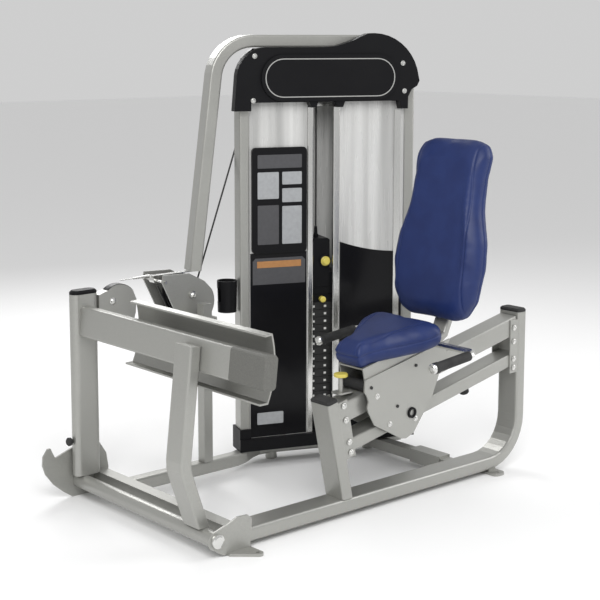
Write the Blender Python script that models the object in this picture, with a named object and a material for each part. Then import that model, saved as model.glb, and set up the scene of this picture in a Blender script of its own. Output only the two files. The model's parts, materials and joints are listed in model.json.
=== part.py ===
"""Seated leg press with a weight-stack tower: one named object for each sub-part.

Metres, +Z up. +X runs from the foot plate towards the seat, +Y runs from the seat rail towards the
weight tower. The machine is drawn from the near end of the press arm's pivot, and one empty moves it
so that the middle of its footprint is at the origin.
"""

from math import atan2, cos, hypot, pi, radians, sin

import bmesh
import bpy
from mathutils import Matrix, Vector

GAP = 0.0004  # between neighbouring pieces

# Frame tube: 100 x 50 mm flat tube, its wide side across the rail
TUBE_W, TUBE_T, TUBE_R = 0.100, 0.050, 0.010
RAIL_Y = 0.050  # centre plane of the seat rails, seat and back
RAIL_Z = 0.045
FRAME_TOP = RAIL_Z + TUBE_T / 2
REAR_POST_X, REAR_POST_TOP, REAR_BEND = 1.575, 0.632, 0.170

# Front cross member and the two end plates that carry the pivot shaft
CROSS_X, CROSS_W, CROSS_FAR = 0.125, 0.050, 0.8412
PIVOT_X, PIVOT_Z = 0.034, 0.061
SHAFT_R, PIVOT_BORE, PIVOT_R = 0.0180, 0.0186, 0.0275
END_PLATE_T = 0.008

# Seat rails: tilted up towards the rear post, at right angles to the front leg
TILT = radians(11.8)
LEG_FOOT = Vector((0.636, RAIL_Y, FRAME_TOP))
LEG_LENGTH = 0.370
RAIL_HALF_W = 0.042
UPPER_V, UPPER_H = 0.314, 0.075
LOWER_V, LOWER_H = 0.185, 0.050
BRACKET_T = 0.005

CROSS_TUBE_FAR = 0.549

# Press arm
POST_X, POST_W, POST_Y, POST_D, POST_TOP = 0.0505, 0.109, 0.815, 0.050, 0.775
POST_FOOT = PIVOT_Z + PIVOT_R + GAP
ARM_Y, ARM_W, ARM_T = 0.100, 0.090, 0.045
ARM_KINK = (-0.042, 0.310)
ARM_TOP = (0.0025, 0.710)
BEAM_H, BEAM_T = 0.110, 0.050
BEAM_Z = 0.680
BEAM_NEAR, SLEEVE_NEAR = -0.095, -0.270
PLATE_NEAR, PLATE_FAR, PLATE_T = -0.200, 0.555, 0.006
CAM_X, CAM_Z, CAM_R = 0.195, 0.715, 0.0792
BELT_Y = 0.810  # plane of the cam, the pull link and the redirect pulley

# Pulley bracket at the foot of the arch
BRACKET_NEAR, BRACKET_FAR, FAN_T = 0.735, 0.8664, 0.006
REDIRECT_X, REDIRECT_Z, REDIRECT_R = 0.490, 0.728, 0.0755
ROLLER_X, ROLLER_Z, ROLLER_R = 0.366, 0.790, 0.012
LOWER_POST_X, LOWER_POST_Y, LOWER_POST_W = 0.510, 0.680, 0.040
SHELF_LOW, SHELF_TOP = 0.600, 0.640
CABLE_R = 0.0035

# Tower: its own axes are turned clockwise; u along its front, n towards its back
TOWER_AT, TOWER_TURN = Vector((0.726, 0.669, 0.0)), radians(-20.5)
STACK_U, STACK_N = 0.309, 0.085
PLATE_WIDE, PLATE_DEEP, PLATE_PITCH = 0.340, 0.110, 0.0307
STACK_LOW, PLATES, SELECTED = 0.2556, 16, 3
ROD_SPREAD, ROD_R = 0.120, 0.010
TRAY_LOW, TRAY_TOP = 0.0754, 0.125
WINDOW_TOP, STRIP_TOP = 1.462, 1.440
HOOK_TIP_X = -0.120
PULLEY_R, PULLEY_Z, PULLEY_LEFT = 0.045, 1.560, 0.105
ARCH_N = 0.056
ARCH_T, ARCH_D = 0.048, 0.088

# Seat carriage
CARRIAGE_T = 0.006
CARRIAGE_NEAR, CARRIAGE_FAR = -0.020, 0.114
GRIP_SPREAD = 0.298
ROLLER = 0.020
RAIL_TOP_V, RAIL_LOW_V = UPPER_V + UPPER_H / 2, UPPER_V - UPPER_H / 2
ROLLER_SPOTS = {
    "front_top_roller": (0.168, RAIL_TOP_V + ROLLER + GAP),
    "rear_top_roller": (0.400, RAIL_TOP_V + ROLLER + GAP),
    "under_roller": (0.280, RAIL_LOW_V - ROLLER - GAP),
}
DECK_V = 0.4510
SEAT_LOW, SEAT_FRONT = DECK_V + GAP, 0.118
BACK_LOW, BACK_TOP, BACK_THICK = (1.072, 0.655), (1.195, 1.345), 0.085


# ---------------------------------------------------------------- helpers

def clear_scene():
    for thing in list(bpy.data.objects):
        bpy.data.objects.remove(thing, do_unlink=True)


def material(name, colour, roughness, metallic=0.0):
    made = bpy.data.materials.new(name)
    made.use_nodes = True
    shader = made.node_tree.nodes["Principled BSDF"]
    shader.inputs["Base Color"].default_value = (*colour, 1.0)
    shader.inputs["Roughness"].default_value = roughness
    shader.inputs["Metallic"].default_value = metallic
    made.diffuse_color = (*colour, 1.0)
    return made


def empty(name, at, turn=0.0, parent=None):
    made = bpy.data.objects.new(name, None)
    bpy.context.collection.objects.link(made)
    made.location = at
    made.rotation_euler = (0.0, 0.0, turn)
    made.parent = parent
    return made


def finish(name, mesh, look, parent):
    """An object whose mesh faces outwards, round parts smooth, its points measured from the parent's place."""
    shape = bmesh.new()
    shape.from_mesh(mesh)
    bmesh.ops.recalc_face_normals(shape, faces=shape.faces)
    shape.to_mesh(mesh)
    shape.free()
    mesh.materials.append(look)
    mesh.shade_smooth()
    mesh.set_sharp_from_angle(angle=radians(32))
    made = bpy.data.objects.new(name, mesh)
    bpy.context.collection.objects.link(made)
    made.parent = parent
    return made


def loft(name, rings, look, parent):
    """A closed solid through rings of equal point counts, with flat ends."""
    shape = bmesh.new()
    loops = [[shape.verts.new(point) for point in ring] for ring in rings]
    count = len(loops[0])
    for low, high in zip(loops, loops[1:]):
        for i in range(count):
            j = (i + 1) % count
            shape.faces.new((low[i], low[j], high[j], high[i]))
    shape.faces.new(loops[0])
    shape.faces.new(loops[-1])
    mesh = bpy.data.meshes.new(name)
    shape.to_mesh(mesh)
    shape.free()
    return finish(name, mesh, look, parent)


def arc(centre, radius, start, end, steps):
    """Points (a, b) on an arc, angles in degrees."""
    turn = [radians(start + (end - start) * i / steps) for i in range(steps + 1)]
    return [(centre[0] + radius * cos(t), centre[1] + radius * sin(t)) for t in turn]


def rounded(width, height, radius, steps=3):
    """A rounded rectangle about the origin, anticlockwise."""
    points = []
    corners = ((1, 1, 0), (-1, 1, 90), (-1, -1, 180), (1, -1, 270))
    for side_a, side_b, start in corners:
        centre = (side_a * (width / 2 - radius), side_b * (height / 2 - radius))
        points += arc(centre, radius, start, start + 90, steps)
    return points


def prism(name, outline, low, high, look, parent, axis="Y"):
    """An outline extruded from low to high: (x, z) outlines along Y, (x, y) along Z."""
    if axis == "Y":
        rings = [[Vector((a, level, b)) for a, b in outline] for level in (low, high)]
    else:
        rings = [[Vector((a, b, level)) for a, b in outline] for level in (low, high)]
    return loft(name, rings, look, parent)


def slab(name, low, high, look, parent, radius=0.0):
    """A box between two corners, its upright edges rounded if radius is given."""
    middle = ((low[0] + high[0]) / 2, (low[1] + high[1]) / 2)
    width, depth = high[0] - low[0], high[1] - low[1]
    if radius:
        outline = rounded(width, depth, radius)
    else:
        outline = [(width / 2, depth / 2), (-width / 2, depth / 2), (-width / 2, -depth / 2), (width / 2, -depth / 2)]
    outline = [(a + middle[0], b + middle[1]) for a, b in outline]
    return prism(name, outline, low[2], high[2], look, parent, axis="Z")


def onto(point, direction, plane):
    """The point moved along direction until it lies on plane = (point, normal)."""
    at, normal = plane
    return point + direction * ((at - point).dot(normal) / direction.dot(normal))


def sweep(name, path, side, section, look, parent, start=None, end=None):
    """A section carried along a path in one plane. side is the plane's normal, the section's first axis."""
    path = [Vector(point) for point in path]
    side = Vector(side).normalized()
    rings = []
    for i, here in enumerate(path):
        before = (here - path[i - 1]).normalized() if i else (path[1] - here).normalized()
        after = (path[i + 1] - here).normalized() if i + 1 < len(path) else before
        along = (before + after).normalized()
        stretch = 1.0 / max(0.2, along.dot(before))
        across = side.cross(along)
        ring = [here + side * a + across * (b * stretch) for a, b in section]
        if i == 0 and start:
            ring = [onto(point, after, start) for point in ring]
        if i + 1 == len(path) and end:
            ring = [onto(point, before, end) for point in ring]
        rings.append(ring)
    return loft(name, rings, look, parent)


def turned(name, centre, axis, profile, look, parent, sides=24):
    """A solid turned about an axis through centre: profile is (along, radius) from end to end."""
    axis = Vector(axis).normalized()
    first = axis.orthogonal().normalized()
    second = axis.cross(first)
    centre = Vector(centre)
    rings = []
    for along, radius in profile:
        ring = []
        for i in range(sides):
            t = 2 * pi * i / sides
            ring.append(centre + axis * along + (first * cos(t) + second * sin(t)) * radius)
        rings.append(ring)
    return loft(name, rings, look, parent)


def sleeve(name, centre, axis, outline, look, parent, sides=32):
    """A turned ring: outline is a closed loop of (along, radius) that stays off the axis."""
    axis = Vector(axis).normalized()
    first = axis.orthogonal().normalized()
    second = axis.cross(first)
    shape = bmesh.new()
    loops = []
    for i in range(sides):
        t = 2 * pi * i / sides
        out = first * cos(t) + second * sin(t)
        loops.append([shape.verts.new(Vector(centre) + axis * along + out * radius) for along, radius in outline])
    count = len(outline)
    for i in range(sides):
        here, there = loops[i], loops[(i + 1) % sides]
        for j in range(count):
            k = (j + 1) % count
            shape.faces.new((here[j], here[k], there[k], there[j]))
    mesh = bpy.data.meshes.new(name)
    shape.to_mesh(mesh)
    shape.free()
    return finish(name, mesh, look, parent)


def combine(target, tools, operation):
    """Boolean each tool into the target; tools stay out of the model."""
    for tool in tools:
        tool.hide_render = True
        tool.display_type = "WIRE"
        step = target.modifiers.new(tool.name, "BOOLEAN")
        step.operation = operation
        step.object = tool
    return target


def rod_curve(name, points, radius, look, parent):
    """A cable: a filled tube along a smooth row of points."""
    curve = bpy.data.curves.new(name, "CURVE")
    curve.dimensions = "3D"
    curve.bevel_depth = radius
    curve.bevel_resolution = 2
    curve.use_fill_caps = True
    spline = curve.splines.new("POLY")
    spline.points.add(len(points) - 1)
    for place, point in zip(spline.points, points):
        place.co = (*point, 1.0)
    curve.materials.append(look)
    made = bpy.data.objects.new(name, curve)
    bpy.context.collection.objects.link(made)
    made.parent = parent
    return made


def joint_empty(name, at, parent):
    """An empty on a joint's axis, which its pieces keep their drawn places under."""
    made = empty(name, at, parent=parent)
    made["joint"] = name
    return made


def hang(pieces, joint):
    for piece in pieces:
        piece.parent = joint
        piece.matrix_parent_inverse = Matrix.Translation(-joint.location)


def rail_point(u, v, y=RAIL_Y):
    """A point measured along the seat rails (u) and up the front leg (v) from the leg's foot."""
    return Vector((LEG_FOOT.x + u * cos(TILT) - v * sin(TILT), y, LEG_FOOT.z + u * sin(TILT) + v * cos(TILT)))


def rail_outline(corners):
    return [(point.x, point.z) for point in (rail_point(u, v) for u, v in corners)]


# ---------------------------------------------------------------- frame, seat side

def build_seat_frame(steel, rubber, root):
    tube = rounded(TUBE_W, TUBE_T, TUBE_R)
    bend = arc((REAR_POST_X - REAR_BEND, RAIL_Z + REAR_BEND), REAR_BEND, -90, 0, 8)
    path = [(CROSS_X + CROSS_W / 2 + GAP, RAIL_Z)] + bend + [(REAR_POST_X, REAR_POST_TOP)]
    side_rail = sweep("side_rail", [(x, RAIL_Y, z) for x, z in path], (0, 1, 0), tube, steel, root)

    cap = rounded(TUBE_W, TUBE_T, TUBE_R)
    ends = [(REAR_POST_TOP + GAP, 1.0), (REAR_POST_TOP + 0.008, 1.0), (REAR_POST_TOP + 0.014, 0.88)]
    rings = [[Vector((REAR_POST_X + b * s, RAIL_Y + a * s, z)) for a, b in cap] for z, s in ends]
    loft("rear_post_cap", rings, rubber, root)

    floor_cut = (LEG_FOOT + Vector((0, 0, GAP)), Vector((0, 0, 1)))
    leg = sweep("front_leg", [rail_point(0, 0), rail_point(0, LEG_LENGTH)], (0, 1, 0), tube, steel, root,
                start=floor_cut)
    levels = [(LEG_LENGTH + GAP, 1.0), (LEG_LENGTH + 0.007, 1.0), (LEG_LENGTH + 0.012, 0.90)]
    rings = [[rail_point(b * s, v, RAIL_Y + a * s) for a, b in cap] for v, s in levels]
    loft("front_leg_cap", rings, rubber, root)

    wall = REAR_POST_X - TUBE_T / 2 - BRACKET_T - 2 * GAP
    stop_at = (Vector((wall, 0, 0)), Vector((1, 0, 0)))
    first = TUBE_T / 2 + BRACKET_T + 2 * GAP
    for name, v, height in (("upper_seat_rail", UPPER_V, UPPER_H), ("lower_seat_rail", LOWER_V, LOWER_H)):
        section = rounded(2 * RAIL_HALF_W, height, 0.006)
        sweep(name, [rail_point(first, v), rail_point(0.9, v)], (0, 1, 0), section, steel, root, end=stop_at)

    inner, outer = RAIL_HALF_W + GAP, RAIL_HALF_W + BRACKET_T + GAP
    back, ear = TUBE_T / 2 - 0.004, 0.046
    channel = [(back, -outer), (back + ear, -outer), (back + ear, -inner), (first - GAP, -inner),
               (first - GAP, inner), (back + ear, inner), (back + ear, outer), (back, outer)]
    rings = [[rail_point(u, v, RAIL_Y + y) for u, y in channel] for v in (0.145, 0.362)]
    combine(leg, [loft("front_rail_bracket", rings, steel, root)], "UNION")
    face = REAR_POST_X - TUBE_T / 2 + 0.004
    rings = [[Vector((face - (u - back), RAIL_Y + y, z)) for u, y in channel] for z in (0.392, 0.606)]
    combine(side_rail, [loft("rear_rail_bracket", rings, steel, root)], "UNION")

    knob_at = rail_point(0.700, LOWER_V - LOWER_H / 2 - GAP)
    down = rail_point(0.700, 0) - rail_point(0.700, 1)
    profile = [(0.0, 0.009), (0.010, 0.009), (0.011, 0.019), (0.026, 0.020), (0.032, 0.015)]
    turned("rail_stop_knob", knob_at, down, profile, rubber, root, sides=20)

    foot = slab("side_rail_foot", (1.395, -0.036, 0.0), (1.455, RAIL_Y + 0.045, 0.010), steel, root, radius=0.020)
    block = slab("side_rail_foot_block", (1.405, 0.012, 0.005), (1.445, 0.088, RAIL_Z - TUBE_T / 2 - GAP), steel, root)
    hole = turned("side_rail_foot_hole", (1.425, -0.016, -0.01), (0, 0, 1), [(0, 0.007), (0.03, 0.007)], steel, root)
    combine(foot, [block], "UNION")
    combine(foot, [hole], "DIFFERENCE")
    return side_rail


def build_front_frame(steel, bright, root):
    half = CROSS_W / 2
    member = slab("front_cross_member", (CROSS_X - half, -0.004, 0.035), (CROSS_X + half, CROSS_FAR + 0.004, 0.085), steel, root)

    nose = arc((PIVOT_X, PIVOT_Z), 0.034, 250, 118, 10)
    plate = nose + [(0.085, 0.110), (0.120, 0.124), (0.165, 0.122), (0.181, 0.108), (0.181, 0.050), (0.172, 0.005)]
    plate += [(0.060, 0.005)]
    near = prism("near_end_plate", plate, -END_PLATE_T - GAP, -GAP, steel, root)
    bore = turned("near_end_bore", (PIVOT_X, -0.03, PIVOT_Z), (0, 1, 0), [(0, PIVOT_BORE), (0.06, PIVOT_BORE)], steel,
                  root, sides=32)

    tab_outline = [(0.075, 0.020), (0.175, 0.020), (0.175, -0.020)] + arc((0.160, -0.070), 0.017, 0, -150, 6)
    tab = prism("near_foot_tab", tab_outline + [(0.078, -0.020)], 0.0, 0.010, steel, root, axis="Z")
    hole = turned("near_foot_hole", (0.158, -0.068, -0.01), (0, 0, 1), [(0, 0.007), (0.03, 0.007)], steel, root)
    combine(member, [near, tab], "UNION")
    combine(member, [bore, hole], "DIFFERENCE")

    hook = [(0.150, 0.0004), (0.160, 0.020), (0.166, 0.087), (0.157, 0.142), (0.125, 0.192), (0.070, 0.200)]
    hook += [(0.010, 0.190), (-0.040, 0.172), (-0.066, 0.163), (-0.078, 0.186), (-0.086, 0.204), (-0.097, 0.203)]
    hook += [(-0.117, 0.176), (HOOK_TIP_X, 0.142), (-0.108, 0.106), (-0.075, 0.062), (-0.033, 0.026), (0.005, 0.0004)]
    far_at = CROSS_FAR + GAP
    far = prism("far_hook_plate", hook, far_at, far_at + END_PLATE_T, steel, root)
    bore = turned("far_hook_bore", (PIVOT_X, far_at - 0.02, PIVOT_Z), (0, 1, 0),
                  [(0, PIVOT_BORE), (0.06, PIVOT_BORE)], steel, root, sides=32)
    combine(member, [far], "UNION")
    combine(member, [bore], "DIFFERENCE")

    near_head, far_end = -END_PLATE_T - 2 * GAP, far_at + END_PLATE_T + GAP
    profile = [(near_head - 0.012, 0.016), (near_head - 0.009, 0.024), (near_head, 0.0255), (near_head, SHAFT_R),
               (far_end, SHAFT_R), (far_end, 0.0245), (far_end + 0.010, 0.022)]
    turned("pivot_shaft", (PIVOT_X, 0, PIVOT_Z), (0, 1, 0), profile, bright, root, sides=32)

    tube = rounded(0.050, 0.050, 0.008)
    path = [(CROSS_X + half + GAP, 0.690), (0.660, 0.690), (0.705, 0.702), (0.775, 0.738), (0.820, 0.752)]
    turn = Vector((cos(TOWER_TURN), sin(TOWER_TURN)))
    end = Vector(path[-1]) + turn * 0.640
    path += [tuple(Vector((0.880, 0.745))), tuple(end - turn * 0.02), tuple(end)]
    base = sweep("tower_base_tube", [(x, y, 0.050) for x, y in path], (0, 0, 1), tube, steel, root)
    feet = []
    for i, u in enumerate((0.130, 0.560)):
        profile = [(0, 0.022), (0.004, 0.024), (0.030, 0.022)]
        feet.append(turned(f"tower_foot_{i}", tower_place(u, 0.122, 0.0), (0, 0, 1), profile, steel, root, sides=20))
    combine(base, feet, "UNION")


def build_cross_tube(rail, steel, root):
    """The tube welded to the seat rail, that reaches the tower's base tube through a joining socket."""
    tube = slab("cross_tube", (1.245, TUBE_W - 0.010, 0.025), (1.295, CROSS_TUBE_FAR, 0.066), steel, root)
    socket = slab("cross_tube_socket", (1.239, 0.125, 0.020), (1.301, 0.285, 0.075), steel, root)
    combine(rail, [tube, socket], "UNION")


# ---------------------------------------------------------------- press arm

def build_press_arm(steel, plastic, rubber, dark, root):
    pivot = joint_empty("press_arm_axis", (PIVOT_X, 0, PIVOT_Z), root)
    pieces = []
    span = CROSS_FAR - GAP
    ring = [(GAP, PIVOT_BORE), (GAP, PIVOT_R), (span, PIVOT_R), (span, PIVOT_BORE)]
    pieces.append(sleeve("arm_pivot_tube", (PIVOT_X, 0, PIVOT_Z), (0, 1, 0), ring, steel, root))

    post = rounded(POST_W, POST_D, 0.0235, steps=6)
    outline = [(POST_X + a, POST_Y + b) for a, b in post]
    pieces.append(prism("arm_post", outline, POST_FOOT, POST_TOP, steel, root, axis="Z"))
    levels = [(POST_TOP + GAP, 1.0), (POST_TOP + 0.008, 1.0), (POST_TOP + 0.015, 0.86)]
    rings = [[Vector((POST_X + a * s, POST_Y + b * s, z)) for a, b in post] for z, s in levels]
    pieces.append(loft("arm_post_cap", rings, dark, root))

    lean = atan2(ARM_TOP[0] - ARM_KINK[0], ARM_TOP[1] - ARM_KINK[1])
    bar = rounded(ARM_W, ARM_T, 0.008)
    path = [(PIVOT_X - 0.004, POST_FOOT), (ARM_KINK[0] + 0.012, 0.262), (ARM_KINK[0] + 0.002, 0.295),
            (ARM_KINK[0] + 0.0014, 0.325), ARM_TOP]
    cut = (Vector((0, 0, POST_FOOT)), Vector((0, 0, 1)))
    pieces.append(sweep("bent_arm", [(x, ARM_Y, z) for x, z in path], (0, 1, 0), bar, steel, root, start=cut))

    out = Vector((cos(lean), 0, -sin(lean)))
    up = Vector((sin(lean), 0, cos(lean)))
    share = (BEAM_Z - ARM_KINK[1]) / (ARM_TOP[1] - ARM_KINK[1])
    arm_there = Vector((ARM_KINK[0] + (ARM_TOP[0] - ARM_KINK[0]) * share, 0, BEAM_Z))
    beam_at = arm_there + out * (ARM_T / 2 + BEAM_T / 2 + 2 * GAP)

    def beam_rings(width, height, radius, stations):
        shape = rounded(width, height, radius)
        return [[beam_at + out * (a * s) + up * (b * s) + Vector((0, y, 0)) for a, b in shape] for y, s in stations]

    post_face = POST_Y - POST_D / 2 - GAP
    stations = [(post_face, 1.0), (BEAM_NEAR, 1.0)]
    pieces.append(loft("arm_beam", beam_rings(BEAM_T, BEAM_H, 0.008, stations), steel, root))
    stations = [(BEAM_NEAR - GAP, 1.0), (SLEEVE_NEAR + 0.006, 1.0), (SLEEVE_NEAR, 0.94)]
    pieces.append(loft("beam_end_sleeve", beam_rings(BEAM_T + 0.004, BEAM_H + 0.004, 0.012, stations), plastic, root))

    # Foot plate: a shallow channel, bowed towards the seat, its two edges turned back over the beam
    bow = arc((-0.205, 0.6930), 0.3300, 15.5, -25.0, 10)
    inner = arc((-0.205, 0.6930), 0.3300 - PLATE_T, -24.2, 14.6, 10)
    top_lip = [(bow[0][0] - 0.030, bow[0][1] - 0.002), (bow[0][0] - 0.030, bow[0][1] - 0.008)]
    low_lip = [(bow[-1][0] - 0.034, bow[-1][1]), (bow[-1][0] - 0.034, bow[-1][1] + 0.006)]
    channel = bow + low_lip + inner + list(reversed(top_lip))
    plate = prism("foot_plate", channel, PLATE_NEAR, PLATE_FAR, steel, root)
    beam_back = beam_at.x + BEAM_T / 2 * cos(lean) + 0.004
    blocks = []
    for i, y in enumerate((0.020, 0.400)):
        blocks.append(slab(f"foot_plate_block_{i}", (beam_back, y, 0.660), (0.1215, y + 0.060, 0.700), steel, root))
    combine(plate, blocks, "UNION")
    pieces.append(plate)

    face = POST_X + POST_W / 2 + GAP
    cam = [(face, 0.640)] + [(face, 0.765)] + arc((CAM_X, CAM_Z), CAM_R, 128, 38, 10)
    cam += [(0.272, 0.730), (0.268, 0.680), (0.256, 0.640)]
    pieces.append(prism("arm_cam", cam, BELT_Y - 0.019, BELT_Y + 0.019, steel, root))
    side = POST_X - POST_W / 2 - GAP
    profile = [(0.0, 0.008), (0.006, 0.008), (0.008, 0.015), (0.018, 0.016), (0.023, 0.011)]
    pieces.append(turned("arm_bumper", (side, POST_Y + 0.004, 0.222), (-1, 0, 0), profile, rubber, root, sides=20))
    hang(pieces, pivot)


# ---------------------------------------------------------------- pull link and redirect pulley

def build_pulley_bracket(steel, bright, dark, cable, root):
    fan = [(0.357, 0.817), (0.480, 0.812), (0.552, 0.775)] + arc((0.515, 0.695), 0.085, 32, -32, 6)
    fan += [(0.560, SHELF_TOP + GAP), (0.430, SHELF_TOP + GAP), (0.410, 0.675), (0.352, 0.790)]
    plates = []
    for name, low in (("near_fan_plate", BRACKET_NEAR), ("far_fan_plate", BRACKET_FAR - FAN_T)):
        plate = prism(name, fan, low, low + FAN_T, steel, root)
        plates.append(plate)
        bore = turned(name + "_bore", (REDIRECT_X, low - 0.01, REDIRECT_Z), (0, 1, 0), [(0, 0.0102), (0.03, 0.0102)],
                      steel, root)
        pin = turned(name + "_pin", (ROLLER_X, low - 0.01, ROLLER_Z), (0, 1, 0), [(0, 0.0052), (0.03, 0.0052)],
                     steel, root)
        combine(plate, [bore, pin], "DIFFERENCE")

    half = LOWER_POST_W / 2
    post = slab("lower_post", (LOWER_POST_X - half, LOWER_POST_Y - half, 0.0754),
                (LOWER_POST_X + half, LOWER_POST_Y + half, 0.700), steel, root)
    shelf = slab("lower_post_shelf", (0.440, LOWER_POST_Y, SHELF_LOW), (0.570, BRACKET_FAR, SHELF_TOP), steel, root)
    combine(post, [shelf], "UNION")

    near, far = BRACKET_NEAR - 0.008, BRACKET_FAR + 0.008
    axle = turned("redirect_axle", (REDIRECT_X, 0, REDIRECT_Z), (0, 1, 0),
                  [(near, 0.013), (BRACKET_NEAR + 0.004, 0.014), (BRACKET_NEAR + 0.004, 0.0098), (far, 0.0098)],
                  bright, root)
    combine(plates[0], [axle], "UNION")

    hub = joint_empty("redirect_pulley_axis", (REDIRECT_X, BELT_Y, REDIRECT_Z), root)
    rim, groove = REDIRECT_R, REDIRECT_R - 0.008
    ring = [(-0.016, 0.0102), (-0.016, rim), (-0.011, rim), (-0.007, groove), (0.007, groove), (0.011, rim),
            (0.016, rim), (0.016, 0.0102)]
    hang([sleeve("redirect_pulley", (REDIRECT_X, BELT_Y, REDIRECT_Z), (0, 1, 0), ring, dark, root)], hub)
    hub = joint_empty("corner_roller_axis", (ROLLER_X, BELT_Y, ROLLER_Z), root)
    near, far = BRACKET_NEAR - 0.005 - BELT_Y, BRACKET_FAR + 0.005 - BELT_Y
    profile = [(near, 0.0048), (-0.016, 0.0048), (-0.016, ROLLER_R), (0.016, ROLLER_R), (0.016, 0.0048),
               (far, 0.0048)]
    hang([turned("corner_roller", (ROLLER_X, BELT_Y, ROLLER_Z), (0, 1, 0), profile, bright, root)], hub)

    # Link: wire, sleeve and rod end, with the strap that it draws out over the corner roller
    slide = joint_empty("pull_link_slide", (ROLLER_X, BELT_Y, 0.806), root)
    wire = turned("pull_link", (0.210, BELT_Y, 0.8055), (1, 0, 0.006),
                  [(0, 0.0020), (0.060, 0.0020), (0.061, 0.0040), (0.100, 0.0045), (0.101, 0.0060), (0.136, 0.0065),
                   (0.137, 0.0040), (0.145, 0.0040)], bright, root, sides=16)
    strap = slab("pull_link_strap", (0.350, BELT_Y - 0.014, 0.8045), (0.575, BELT_Y + 0.014, 0.8080), cable, root)
    combine(wire, [strap], "UNION")
    hang([wire], slide)


# ---------------------------------------------------------------- tower

def tower_place(u, n, z):
    """A point of the tower's own axes, in the machine's."""
    c, s = cos(TOWER_TURN), sin(TOWER_TURN)
    return Vector((TOWER_AT.x + c * u - s * n, TOWER_AT.y + s * u + c * n, z))


def build_tower_frame(steel, bright, dark, clear, tower):
    # Arch: up from the pulley bracket, over the header, down the right side to the tray
    left_bend = arc((0.018, 1.549), 0.148, 171, 90, 8)
    right_bend = arc((0.532, 1.547), 0.150, 90, 0, 8)
    path = [(-0.217, 0.812)] + left_bend + right_bend + [(0.682, TRAY_TOP + GAP)]
    section = rounded(ARCH_D, ARCH_T, 0.007)
    sweep("arch_tube", [(u, ARCH_N, z) for u, z in path], (0, 1, 0), section, steel, tower,
          start=(Vector((0, 0, 0.812)), Vector((0, 0, 1))))

    slab("left_pillar", (-0.040, 0.0, TRAY_TOP + 0.040 + GAP), (-GAP, 0.074, 1.4296), steel, tower, radius=0.006)

    outline = [(-0.046, -0.012), (0.712, -0.012), (0.712, 0.190), (0.070, 0.190), (-0.046, 0.086)]
    tray = prism("base_tray", outline, TRAY_LOW, TRAY_TOP, dark, tower, axis="Z")
    socket = slab("base_tray_socket", (-0.046, -0.008, 0.100), (0.0, 0.086, TRAY_TOP + 0.040), dark, tower)
    pad = slab("base_tray_pad", (STACK_U - 0.150, 0.040, 0.100), (STACK_U + 0.150, 0.130, STACK_LOW - GAP), dark, tower)
    combine(tray, [socket, pad], "UNION")

    for name, low, high in (("window_strip_left", 0.242, 0.266), ("window_strip_right", 0.351, 0.379)):
        slab(name, (low, 0.0, TRAY_TOP + GAP), (high, 0.018, STRIP_TOP - GAP), bright, tower, radius=0.004)
    low, high = TRAY_TOP + GAP, WINDOW_TOP - GAP
    slab("left_shield", (GAP, 0.006, low), (0.242 - GAP, 0.010, high), clear, tower)
    slab("right_shield", (0.379 + GAP, 0.006, low), (0.658 - 2 * GAP, 0.010, high), clear, tower)
    slab("rear_shield", (0.010, 0.166, low), (0.655, 0.170, high), clear, tower)
    yoke = slab("guide_rods", (STACK_U - ROD_SPREAD - 0.020, STACK_N - 0.015, 1.440),
                (STACK_U + ROD_SPREAD + 0.020, STACK_N + 0.015, 1.452), bright, tower)
    rods = []
    for i, side in enumerate((-1, 1)):
        rods.append(turned(f"guide_rod_{i}", (STACK_U + side * ROD_SPREAD, STACK_N, 0), (0, 0, 1),
                           [(STACK_LOW, ROD_R), (1.458, ROD_R)], bright, tower, sides=20))
    slot = turned("guide_rod_slot", (STACK_U, STACK_N, 1.40), (0, 0, 1), [(0, 0.012), (0.10, 0.012)], bright, tower)
    combine(yoke, rods, "UNION")
    combine(yoke, [slot], "DIFFERENCE")


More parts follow.
